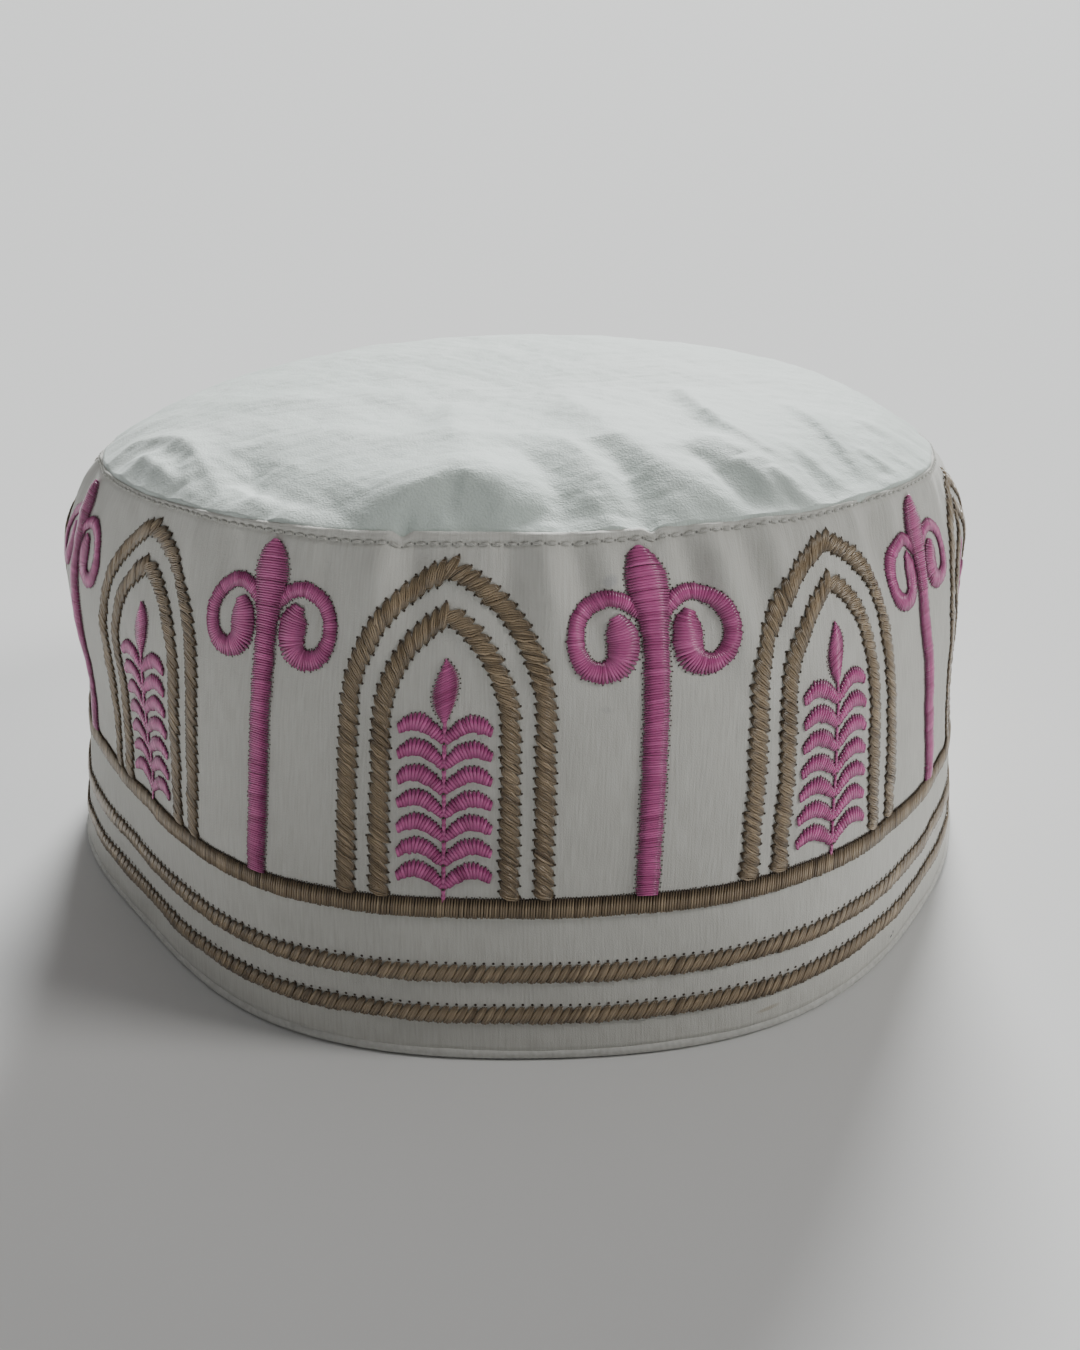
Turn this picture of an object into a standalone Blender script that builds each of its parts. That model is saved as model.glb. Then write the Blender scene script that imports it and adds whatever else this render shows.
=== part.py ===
"""A kufi, the round cloth cap: a domed crown gathered into an upright embroidered band.

Lengths are in millimetres up to the moment a mesh is made, where MM turns them into metres.
Angles round the cap are in degrees, 0 at the front (-Y), growing towards +X.
A place on the band is given by its angle and its height up the cloth.
"""
import math

import bmesh
import bpy
from mathutils import Vector

MM = 0.001

# Driving sizes
CAP_HEIGHT = 94.0
WALL = 1.4
CROWN_CLOTH = 1.2
GAP = 0.3
MOTIF_LIFT = 0.45
THREAD = 0.6
STATIONS = 52
PLAN_CENTRE = (-2.9, 0.8)

# Cloth levels up the band; below PLAIN_TOP the cloth stands at its own height
PLAIN_TOP = 30.0
HEM_TOP = 1.9
LEVELS = (HEM_TOP + GAP, 21.0, 31.0, 44.0, 57.0, 70.0, 77.0, 83.0, 89.0, CAP_HEIGHT)
LINING_LEVELS = (89.0, 83.0, 57.0, 31.0)
LIP_RISE = 0.4
# Section of the rolled edge: outward offset and height
HEM_SECTION = ((-0.1, 0.0), (0.4, 0.9), (0.0, HEM_TOP), (-WALL, HEM_TOP), (-WALL, 0.0))

# Crown dome and the seam allowance that hangs inside the band
DOME = 10.5
DOME_POWER = 5
EDGE_POWER = 1.7
SEAM_FADE = 12
CROWN_DROP = 0.6
SKIRT_HIGH = 91.4
SKIRT_LOW = 83.0
CROWN_RINGS = (0.16, 0.34, 0.50, 0.64, 0.77, 0.88, 0.95)
CROWN_UNDER_RINGS = (0.88, 0.77, 0.50)

# Outline of the cap every 30 degrees, from the back round by the left side.
# Radii at the rim, waist, shoulder and seam; the seam's height; the slant of the upright threads.
OUTLINE_STEP = 30.0
OUTLINE_LEVELS = (0.0, 0.40, 0.85, 1.0)
SEAM_BEND = 1.5
OUTLINE = (
    # rim, waist, shoulder, seam, seam height, slant in degrees
    (92.0, 90.0, 87.0, 79.0, 78.0, 0.0),
    (93.0, 91.0, 88.0, 80.0, 79.0, 0.0),
    (96.0, 92.0, 91.0, 82.0, 81.0, 2.0),
    (97.0, 92.0, 91.0, 83.0, 85.0, 4.0),
    (89.0, 86.5, 85.0, 80.0, 90.0, 2.5),
    (92.0, 90.0, 83.0, 78.5, 93.5, 1.5),
    (90.5, 87.5, 81.5, 75.5, 94.0, 1.5),
    (93.0, 91.0, 82.5, 75.5, 92.0, 5.0),
    (89.0, 88.5, 83.0, 79.0, 88.0, 2.0),
    (91.0, 87.0, 87.5, 81.0, 82.5, 2.0),
    (94.0, 91.0, 88.0, 80.0, 81.0, 1.0),
    (93.0, 91.0, 88.0, 79.0, 78.5, 0.0),
)

# Soft folds of the band: angle, cloth height, half angle, half height, push outwards
BAND_FOLDS = (
    (80.0, 52.0, 5.0, 45.0, -1.2),
    (-22.0, 88.0, 6.0, 9.0, 0.9),
    (6.0, 88.0, 6.0, 9.0, 0.9),
    (38.0, 88.0, 6.0, 9.0, 0.9),
    (52.0, 87.0, 5.0, 8.0, -0.7),
    (-48.0, 88.0, 6.0, 9.0, -0.7),
)

# Soft folds of the crown: start x, y, end x, y, half width, height
CROWN_FOLDS = (
    (22.0, 0.0, 44.0, -36.0, 6.0, 1.6),
    (10.0, -24.0, 48.0, -56.0, 7.0, 1.8),
    (30.0, -8.0, 36.0, -34.0, 5.0, -0.9),
    (-14.0, -52.0, -26.0, -68.0, 7.0, -2.2),
    (-14.0, -52.0, 0.0, -70.0, 6.0, -2.0),
    (-52.0, -28.0, -42.0, -50.0, 6.0, 1.4),
    (-70.0, -12.0, -58.0, -28.0, 5.0, 1.5),
    (54.0, -20.0, 66.0, -34.0, 6.0, 1.2),
)

# Embroidery: eight repeats, each a column and an arch
REPEATS = 8
REPEAT_STEP = 360.0 / REPEATS
COLUMN_START = 12.4
ARCH_START = -10.1
ARC_PER_DEGREE = math.radians(1.0) * 89.0

BASE_BAND = (28.0, 32.0)
CORD_STRIPES = {"cord_stripe_lower": (7.1, 11.0), "cord_stripe_upper": (15.3, 19.3)}
FOOT = BASE_BAND[1] + GAP

STRIPE_EDGE = 0.4

ARCH_LINE = 3.7
# name, half span, height of the spring, height of the apex, steps of one arc
ARCHES = (("arch_outer", 17.2, 65.0, 88.7, 5), ("arch_inner", 11.3, 63.0, 81.8, 4))
ARCH_LEG_LEVEL = 50.0

# Bud and bar of the column: height and half width, from the top down
COLUMN_ROWS = (
    (91.2, 0.7), (89.6, 2.4), (86.5, 3.6), (82.0, 3.4), (76.5, 2.3),
    (70.0, 2.3), (57.0, 2.2), (44.0, 2.2), (FOOT, 2.1),
)
# One scroll, from the bar over the top and round to its eye: across, height, width
SCROLL_ROWS = (
    (1.4, 80.0, 2.8), (5.2, 82.6, 2.8), (9.8, 82.2, 2.9), (12.7, 77.8, 3.0),
    (11.8, 71.6, 3.2), (8.2, 70.1, 3.8), (5.4, 72.8, 5.2), (5.6, 77.4, 4.6), (6.6, 80.2, 0.0),
)

FERN_PAIRS = 7
FERN_LEAF_TOP = 61.4
FERN_LEAF_STEP = 4.45
FERN_STEM = 0.6
STEM_OVERLAP = 0.6
# One leaf from its root: across, up, width
LEAF_ROWS = ((0.58, -0.1, 1.5), (4.2, 2.6, 2.9), (8.6, 1.4, 0.0))
# Almond bud of the fern: height and half width
FERN_BUD_ROWS = ((74.5, 0.3), (69.8, 2.3), (63.9, 0.8))

SMOOTH_ANGLE = math.radians(40.0)
# A leaf's tip is one point: its corners closer than this are one
POINTED = 0.0001

COLOURS = {
    "crown": ((0.78, 0.82, 0.80), 0.72),
    "band": ((0.78, 0.78, 0.76), 0.78),
    "hem": ((0.74, 0.74, 0.72), 0.80),
    "brown_thread": ((0.30, 0.22, 0.13), 0.48),
    "pink_thread": ((0.58, 0.14, 0.36), 0.42),
}


def clear_scene():
    """Remove what the new file starts with."""
    for item in list(bpy.data.objects):
        bpy.data.objects.remove(item, do_unlink=True)


def make_material(name):
    colour, roughness = COLOURS[name]
    material = bpy.data.materials.new(name)
    material.use_nodes = True
    shader = material.node_tree.nodes["Principled BSDF"]
    shader.inputs["Base Color"].default_value = (*colour, 1.0)
    shader.inputs["Roughness"].default_value = roughness
    shader.inputs["Metallic"].default_value = 0.0
    return material


def cubic(a, b, c, d, t):
    """Catmull-Rom curve from b to c."""
    return 0.5 * (2 * b + (c - a) * t + (2 * a - 5 * b + 4 * c - d) * t * t
                  + (3 * b - a - 3 * c + d) * t * t * t)


def outline_row(angle):
    """The outline's sizes at any angle, smooth between the rows."""
    place = (angle + 180.0) / OUTLINE_STEP
    first = math.floor(place)
    rows = [OUTLINE[(first + k) % len(OUTLINE)] for k in (-1, 0, 1, 2)]
    return [cubic(*column, place - first) for column in zip(*rows)]


def up_the_wall(radii, share):
    """The radius at a share of the height, a smooth curve through the four radii."""
    marks = OUTLINE_LEVELS
    slopes = [(radii[k + 1] - radii[k]) / (marks[k + 1] - marks[k]) for k in range(3)]
    bends = [slopes[0], 0.0, 0.0, slopes[2] * SEAM_BEND]
    for k in (1, 2):
        below = marks[k] - marks[k - 1]
        above = marks[k + 1] - marks[k]
        bends[k] = (slopes[k - 1] * above + slopes[k] * below) / (below + above)
    k = 0 if share < marks[1] else 1 if share < marks[2] else 2
    span = marks[k + 1] - marks[k]
    t = (share - marks[k]) / span
    return (radii[k] * (1 + 2 * t) * (1 - t) ** 2 + bends[k] * span * t * (1 - t) ** 2
            + radii[k + 1] * t * t * (3 - 2 * t) + bends[k + 1] * span * t * t * (t - 1))


def bell(distance):
    """A smooth bump, 1 at 0 and gone by about 2."""
    return math.exp(-distance * distance)


def turn_between(a, b):
    return (a - b + 180.0) % 360.0 - 180.0


def wall_point(angle, height):
    """A point on the outside of the band's cloth."""
    raised = max(0.0, (height - PLAIN_TOP) / (CAP_HEIGHT - PLAIN_TOP))
    turned = angle + outline_row(angle)[5] * raised
    row = outline_row(turned)
    radius = up_the_wall(row[:4], height / CAP_HEIGHT)
    for fold_angle, fold_height, half_angle, half_height, push in BAND_FOLDS:
        across = turn_between(turned, fold_angle) / half_angle
        along = (height - fold_height) / half_height
        radius += push * bell(across) * bell(along)
    level = height if height < PLAIN_TOP else PLAIN_TOP + raised * (row[4] - PLAIN_TOP)
    around = math.radians(turned)
    return Vector((radius * math.sin(around), -radius * math.cos(around), level))


def wall_grid():
    """The band's outside as a grid of points and of outward directions."""
    step = 360.0 / STATIONS
    points = [[wall_point(i * step, h) for h in LEVELS] for i in range(STATIONS)]
    normals = []
    for i in range(STATIONS):
        column = []
        for j in range(len(LEVELS)):
            along = points[(i + 1) % STATIONS][j] - points[i - 1][j]
            up = points[i][min(j + 1, len(LEVELS) - 1)] - points[i][max(j - 1, 0)]
            column.append(along.cross(up).normalized())
        normals.append(column)
    return points, normals


WALL_POINTS, WALL_NORMALS = wall_grid()


def skin(angle, height, offset):
    """A point that lies offset outside the band's faceted cloth."""
    place = (angle % 360.0) * STATIONS / 360.0
    i = int(place) % STATIONS
    u = place - int(place)
    j = 0
    while j < len(LEVELS) - 2 and height > LEVELS[j + 1]:
        j += 1
    v = (height - LEVELS[j]) / (LEVELS[j + 1] - LEVELS[j])
    corners = ((i, j, (1 - u) * (1 - v)), ((i + 1) % STATIONS, j, u * (1 - v)),
               (i, j + 1, (1 - u) * v), ((i + 1) % STATIONS, j + 1, u * v))
    point = Vector((0.0, 0.0, 0.0))
    normal = Vector((0.0, 0.0, 0.0))
    for a, b, weight in corners:
        point += WALL_POINTS[a][b] * weight
        normal += WALL_NORMALS[a][b] * weight
    return point + normal.normalized() * offset


def add_object(name, vertices, faces, material):
    """A named object from vertices in millimetres, centred on the cap's own plan."""
    mesh = bpy.data.meshes.new(name)
    shift = Vector((-PLAN_CENTRE[0], -PLAN_CENTRE[1], 0.0))
    mesh.from_pydata([(v + shift) * MM for v in vertices], [], faces)
    work = bmesh.new()
    work.from_mesh(mesh)
    bmesh.ops.recalc_face_normals(work, faces=work.faces)
    bmesh.ops.triangulate(work, faces=[f for f in work.faces if len(f.verts) > 4])
    work.to_mesh(mesh)
    work.free()
    mesh.shade_smooth()
    mesh.set_sharp_from_angle(angle=SMOOTH_ANGLE)
    mesh.materials.append(material)
    item = bpy.data.objects.new(name, mesh)
    bpy.context.scene.collection.objects.link(item)
    return item


def ring_body(loops):
    """Vertices and faces of a closed ring whose section is the given list of loops."""
    count = len(loops[0])
    vertices = [point for loop in loops for point in loop]
    faces = []
    for k in range(len(loops)):
        here = k * count
        there = ((k + 1) % len(loops)) * count
        for i in range(count):
            nxt = (i + 1) % count
            faces.append((here + i, here + nxt, there + nxt, there + i))
    return vertices, faces


def skin_loop(height, offset):
    return [skin(i * 360.0 / STATIONS, height, offset) for i in range(STATIONS)]


def build_band(material):
    """One cloth tube, with its top edge folded over to a narrow standing lip."""
    loops = [skin_loop(h, 0.0) for h in LEVELS]
    loops.append([p + Vector((0.0, 0.0, LIP_RISE)) for p in skin_loop(CAP_HEIGHT, -0.5 * WALL)])
    loops.append(skin_loop(CAP_HEIGHT, -WALL))
    loops += [skin_loop(h, -WALL) for h in LINING_LEVELS]
    loops.append(skin_loop(LEVELS[0], -WALL))
    return add_object("band", *ring_body(loops), material)


def build_hem(material):
    """The rolled lower edge, flat underneath where the cap stands."""
    loops = []
    for offset, height in HEM_SECTION:
        loop = skin_loop(LEVELS[0], offset)
        loops.append([Vector((p.x, p.y, height)) for p in loop])
    return add_object("hem_roll", *ring_body(loops), material)


def fold_height(x, y):
    """How far the crown's soft folds lift or sink the cloth at a place."""
    total = 0.0
    for x0, y0, x1, y1, half_width, height in CROWN_FOLDS:
        run = Vector((x1 - x0, y1 - y0))
        reach = Vector((x - x0, y - y0))
        t = min(1.0, max(0.0, reach.dot(run) / run.length_squared))
        total += height * bell((reach - run * t).length / half_width)
    return total


def crown_loop(edge, middle, share, drop):
    """One ring of the crown, at a share of the way from its middle to its edge."""
    loop = []
    for rim in edge:
        x = rim.x * share
        y = rim.y * share
        z = middle + (rim.z - middle) * share ** EDGE_POWER + DOME * (1.0 - share ** DOME_POWER)
        fade = 1.0 - share ** SEAM_FADE
        loop.append(Vector((x, y, z + fold_height(x, y) * fade - drop)))
    return loop


def build_crown(material):
    """The domed top with its seam allowance hanging inside the band."""
    outer = -(WALL + GAP)
    inner = outer - CROWN_CLOTH
    edge = skin_loop(CAP_HEIGHT - CROWN_DROP, outer)
    middle = sum(p.z for p in edge) / len(edge)
    top = [crown_loop(edge, middle, share, 0.0) for share in CROWN_RINGS]
    under = [crown_loop(edge, middle, share, CROWN_CLOTH) for share in CROWN_UNDER_RINGS]
    skirt = [skin_loop(SKIRT_HIGH, inner), skin_loop(SKIRT_LOW, inner),
             skin_loop(SKIRT_LOW, outer), edge]
    loops = list(reversed(under)) + skirt + list(reversed(top))
    vertices, faces = ring_body(loops)
    faces = faces[:-STATIONS]
    last = (len(loops) - 1) * STATIONS
    peak = Vector((0.0, 0.0, middle + DOME + fold_height(0.0, 0.0)))
    vertices.append(peak)
    vertices.append(peak - Vector((0.0, 0.0, CROWN_CLOTH)))
    for i in range(STATIONS):
        nxt = (i + 1) % STATIONS
        faces.append((last + i, last + nxt, len(vertices) - 2))
        faces.append((i, nxt, len(vertices) - 1))
    return add_object("crown", vertices, faces, material)


def build_stripe(name, low, high, material):
    """A raised stripe of thread all round the band."""
    loops = [skin_loop(low, GAP), skin_loop(high, GAP),
             skin_loop(high - STRIPE_EDGE, GAP + THREAD),
             skin_loop(low + STRIPE_EDGE, GAP + THREAD)]
    return add_object(name, *ring_body(loops), material)


def ribbon(rows):
    """A flat ribbon of thread along rows of across, height, width, as a thin closed body."""
    vertices = []
    for k, (x, y, width) in enumerate(rows):
        before = rows[max(k - 1, 0)]
        after = rows[min(k + 1, len(rows) - 1)]
        along = Vector((after[0] - before[0], after[1] - before[1])).normalized()
        side = Vector((-along.y, along.x)) * (0.5 * width)
        for sign, lift in ((1, 0.0), (-1, 0.0), (-1, THREAD), (1, THREAD)):
            vertices.append(Vector((x + sign * side.x, y + sign * side.y, lift)))
    faces = [(3, 2, 1, 0)]
    for k in range(len(rows) - 1):
        a = 4 * k
        b = a + 4
        for c in range(4):
            d = (c + 1) % 4
            faces.append((a + c, a + d, b + d, b + c))
    last = 4 * (len(rows) - 1)
    faces.append((last, last + 1, last + 2, last + 3))
    return vertices, faces


def mirrored(rows):
    return [(-x, y, width) for x, y, width in rows]


def joined(bodies):
    vertices = []
    faces = []
    for more_vertices, more_faces in bodies:
        start = len(vertices)
        vertices += more_vertices
        faces += [tuple(start + k for k in face) for face in more_faces]
    return vertices, faces


def flat_object(name, body):
    mesh = bpy.data.meshes.new(name)
    mesh.from_pydata(body[0], [], body[1])
    work = bmesh.new()
    work.from_mesh(mesh)
    bmesh.ops.remove_doubles(work, verts=work.verts, dist=POINTED)
    bmesh.ops.recalc_face_normals(work, faces=work.faces)
    work.to_mesh(mesh)
    work.free()
    item = bpy.data.objects.new(name, mesh)
    bpy.context.scene.collection.objects.link(item)
    return item


def fused(first, second):
    """The union of two flat bodies, as vertices and faces."""
    base = flat_object("base", first)
    more = flat_object("more", second)
    union = base.modifiers.new("union", "BOOLEAN")
    union.operation = "UNION"
    union.solver = "EXACT"
    union.object = more
    bpy.context.view_layer.update()
    evaluated = base.evaluated_get(bpy.context.evaluated_depsgraph_get())
    mesh = bpy.data.meshes.new_from_object(evaluated)
    work = bmesh.new()
    work.from_mesh(mesh)
    bmesh.ops.triangulate(work, faces=work.faces)
    vertices = [v.co.copy() for v in work.verts]
    faces = [tuple(v.index for v in f.verts) for f in work.faces]
    work.free()
    for item in (base, more):
        bpy.data.objects.remove(item, do_unlink=True)
    return vertices, faces


def column_body():
    """Bar, bud and the two scrolls."""
    bar = [(0.0, height, 2.0 * half) for height, half in COLUMN_ROWS]
    scrolls = [ribbon(SCROLL_ROWS), ribbon(mirrored(SCROLL_ROWS))]
    return fused(ribbon(bar), joined(scrolls))


def fern_body():
    """Stem, almond bud and the pairs of crescent leaves."""
    pieces = [ribbon([(0.0, height, 2.0 * half) for height, half in FERN_BUD_ROWS])]
    stem_levels = [FERN_BUD_ROWS[-1][0] + STEM_OVERLAP, FOOT]
    for pair in range(FERN_PAIRS):
        root = FERN_LEAF_TOP - pair * FERN_LEAF_STEP
        leaf = [(x, root + up, width) for x, up, width in LEAF_ROWS]
        pieces += [ribbon(leaf), ribbon(mirrored(leaf))]
    stem = [(0.0, height, 2.0 * FERN_STEM) for height in stem_levels]
    return fused(ribbon(stem), joined(pieces))


def arch_body(half_span, spring, apex, steps):
    """A pointed arch of one line of thread: two legs and two arcs that meet at the apex."""
    rise = apex - spring
    beyond = (rise * rise - half_span * half_span) / (2.0 * half_span)
    radius = half_span + beyond
    full_turn = math.asin(rise / radius)
    side = [(half_span, h, ARCH_LINE) for h in (FOOT, ARCH_LEG_LEVEL)]
    for k in range(steps):
        turn = full_turn * k / steps
        side.append((radius * math.cos(turn) - beyond, spring + radius * math.sin(turn), ARCH_LINE))
    top = [(0.0, apex, ARCH_LINE)]
    return ribbon(side + top + list(reversed(mirrored(side))))


def place_motif(name, body, centre, material):
    """Lay a flat motif on the band, centred on an angle."""
    vertices = [skin(centre + v.x / ARC_PER_DEGREE, v.y, MOTIF_LIFT + v.z) for v in body[0]]
    return add_object(name, vertices, body[1], material)


def build_embroidery(brown, pink):
    for name, (low, high) in CORD_STRIPES.items():
        build_stripe(name, low, high, brown)
    build_stripe("base_band", *BASE_BAND, brown)
    column = column_body()
    fern = fern_body()
    arches = [(name, arch_body(*sizes)) for name, *sizes in ARCHES]
    for repeat in range(REPEATS):
        number = repeat + 1
        arch_centre = ARCH_START + repeat * REPEAT_STEP
        place_motif(f"column_{number}", column, COLUMN_START + repeat * REPEAT_STEP, pink)
        place_motif(f"fern_{number}", fern, arch_centre, pink)
        for name, body in arches:
            place_motif(f"{name}_{number}", body, arch_centre, brown)


def main():
    clear_scene()
    materials = {name: make_material(name) for name in COLOURS}
    build_band(materials["band"])
    build_hem(materials["hem"])
    build_crown(materials["crown"])
    build_embroidery(materials["brown_thread"], materials["pink_thread"])


main()
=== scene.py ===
import math

import bpy
import numpy as np
from mathutils import Matrix, Vector


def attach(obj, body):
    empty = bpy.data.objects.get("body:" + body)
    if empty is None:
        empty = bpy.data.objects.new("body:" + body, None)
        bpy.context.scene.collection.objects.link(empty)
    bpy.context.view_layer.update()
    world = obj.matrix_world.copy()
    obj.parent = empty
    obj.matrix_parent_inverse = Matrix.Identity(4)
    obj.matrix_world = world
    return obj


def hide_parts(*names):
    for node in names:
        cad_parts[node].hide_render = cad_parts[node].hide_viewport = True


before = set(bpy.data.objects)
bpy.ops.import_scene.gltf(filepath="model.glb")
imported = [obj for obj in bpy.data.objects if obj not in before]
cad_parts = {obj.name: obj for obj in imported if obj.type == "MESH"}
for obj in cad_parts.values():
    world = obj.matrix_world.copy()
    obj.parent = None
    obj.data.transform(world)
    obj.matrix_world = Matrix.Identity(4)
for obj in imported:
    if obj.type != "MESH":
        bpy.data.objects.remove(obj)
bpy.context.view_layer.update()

# The looks of a kufi: wrinkled white cotton, a gathered seam and satin-stitched embroidery.
# Lengths are in millimetres until a mesh is made. Angles are in degrees, 0 at the front (-Y),
# growing towards +X. A place on the band is an angle and a height up its cloth.
MM = 0.001

# Sizes of the cap
CAP_HEIGHT = 94.0
WALL = 1.4
CROWN_CLOTH = 1.2
PLAN_CENTRE = (-2.9, 0.8)
PLAIN_TOP = 30.0
MEAN_RADIUS = 89.0
ARC_PER_DEGREE = math.radians(1.0) * MEAN_RADIUS

# Outline every 30 degrees, from the back round by the left side.
# Radii at the rim, waist, shoulder and seam; the seam's height; the slant of the upright threads.
OUTLINE_STEP = 30.0
OUTLINE_LEVELS = (0.0, 0.40, 0.85, 1.0)
SEAM_BEND = 1.5
OUTLINE = np.array((
    # rim, waist, shoulder, seam, seam height, slant in degrees
    (92, 90, 87, 79, 78, 0),
    (93, 91, 88, 80, 79, 0),
    (96, 92, 91, 82, 81, 2),
    (97, 92, 91, 83, 85, 4),
    (89, 86.5, 85, 80, 90, 2.5),
    (92, 90, 83, 78.5, 93.5, 1.5),
    (90.5, 87.5, 81.5, 75.5, 94, 1.5),
    (93, 91, 82.5, 75.5, 92, 5),
    (89, 88.5, 83, 79, 88, 2),
    (91, 87, 87.5, 81, 82.5, 2),
    (94, 91, 88, 80, 81, 1),
    (93, 91, 88, 79, 78.5, 0),
))

# Soft folds of the band: angle, cloth height, half angle, half height, push outwards
BAND_FOLDS = (
    (80.0, 52.0, 5.0, 45.0, -1.2),
    (-22.0, 88.0, 6.0, 9.0, 0.9),
    (6.0, 88.0, 6.0, 9.0, 0.9),
    (38.0, 88.0, 6.0, 9.0, 0.9),
    (52.0, 87.0, 5.0, 8.0, -0.7),
    (-48.0, 88.0, 6.0, 9.0, -0.7),
)

# Random waves of the cloth: height, length, seed
BAND_WAVES = ((0.16, 16.0, 3), (0.05, 5.0, 4))
LINING_WAVES = ((0.12, 18.0, 5),)
CROWN_WAVES = ((0.13, 14.0, 31), (0.06, 5.0, 32), (0.045, 2.6, 33))
WAVE_COUNT = 14
WAVE_LENGTHS = (0.7, 1.4)
# Height where the relief starts at the rim, and over what it grows
RIM_FADE = (1.0, 2.0)

# Small marks on the band: angle, cloth height, half length, half width, tilt, strength, colour
STAINS = (
    (7.6, 86.6, 1.6, 1.2, 10.0, 0.35, (0.30, 0.31, 0.36)),
    (7.2, 66.0, 1.3, 0.7, -15.0, 0.22, (0.34, 0.33, 0.35)),
    (26.6, 4.4, 2.9, 0.55, 6.0, 0.40, (0.36, 0.27, 0.16)),
    (48.6, 3.6, 0.60, 0.26, 15.0, 0.95, (0.012, 0.014, 0.03)),
    (49.1, 4.1, 0.22, 0.50, 0.0, 0.95, (0.012, 0.014, 0.03)),
)
STAIN_CORE = 0.45

# Puckers that hang from the seam: angle, half width in degrees, slant in degrees a millimetre
# down, reach down from the seam, height outwards
SEAM_PUCKERS = (
    (-46, 1.6, 0, 12, 0.5),
    (-40, 1.5, 0, 12, -0.4),
    (-25, 1.6, 0, 14, -0.4),
    (-18.5, 1.8, -0.05, 17, 0.6),
    (-14.5, 1.6, 0, 12, -0.5),
    (-3.5, 1.6, 0.05, 12, -0.4),
    (0.5, 1.5, 0.10, 18, 0.7),
    (4, 1.3, 0.12, 13, -0.5),
    (7, 1.3, 0.10, 15, 0.4),
    (16, 1.4, 0.16, 18, -0.6),
    (19, 1.4, 0.18, 20, 0.6),
    (23, 1.4, 0.18, 17, -0.5),
    (26.5, 1.4, 0.16, 16, 0.5),
    (41.5, 1.6, 0.12, 14, 0.5),
    (46, 1.6, 0.12, 14, -0.5),
    (51, 1.6, 0.08, 16, 0.5),
)
PUCKER_HEIGHT = 2.8
PUCKER_FAN = 30
PUCKER_FLAT = (0.6, 3.5)
# Even puckers round the back, with ranges of height, half width, slant and reach
BACK_PUCKERS = 46
BACK_START = 58.0
BACK_SPAN = 248.0
BACK_RANGES = ((0.10, 0.26), (1.2, 1.9), (-0.12, 0.12), (9.0, 17.0))

# Topstitch and the seam's lip: cloth height. Groove and lip: reach, depth or height, and its
# change from stitch to stitch.
TOPSTITCH = 92.3
TOPSTITCHES = 232
GROOVE = (0.55, 0.30, 0.05)
SEAM_LIP = 93.3
LIP = (0.75, 0.22, 0.03)
LIP_RUFFLE = 0.04
# The lip's roll: turns in degrees, depth, height and how far it is set down
LIP_TURNS = (60.0, 95.0, 130.0, 165.0)
LIP_DEPTH = 0.62
LIP_ROLL = 0.40
LIP_SET = 0.2
# How the stripes draw the cloth in: reach in widths, depth
STRIPE_PULL = (0.75, 0.12)

# Cloth heights of the band's mesh: outside as ranges with a step, inside one by one
OUTSIDE_LEVELS = ((1.5, 89.0, 1.2), (89.2, 93.7, 0.3))
INSIDE_LEVELS = (92.5, 89.0, 83.0, 74.0, 65.0, 57.0, 48.0, 40.0, 31.0, 21.0, 11.0, 1.5)
BAND_STATIONS = 840

# Rolled hem: outward offset, height and share of the slanting ridges
HEM_SECTION = (
    (-0.35, 2.05, 0.0), (0.12, 1.75, 0.5), (0.36, 1.30, 1.0), (0.40, 0.85, 1.0),
    (0.30, 0.45, 1.0), (0.08, 0.15, 0.6), (-0.20, 0.0, 0.0), (-1.20, 0.0, 0.0),
    (-1.55, 0.5, 0.0), (-1.62, 1.2, 0.0), (-1.40, 2.05, 0.0),
)
HEM_LEVEL = 2.2
HEM_STATIONS = 1440
HEM_RIDGES = 480
HEM_RIDGE = 0.07
HEM_SLANT = 2.2
HEM_ROW = 0.6

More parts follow.
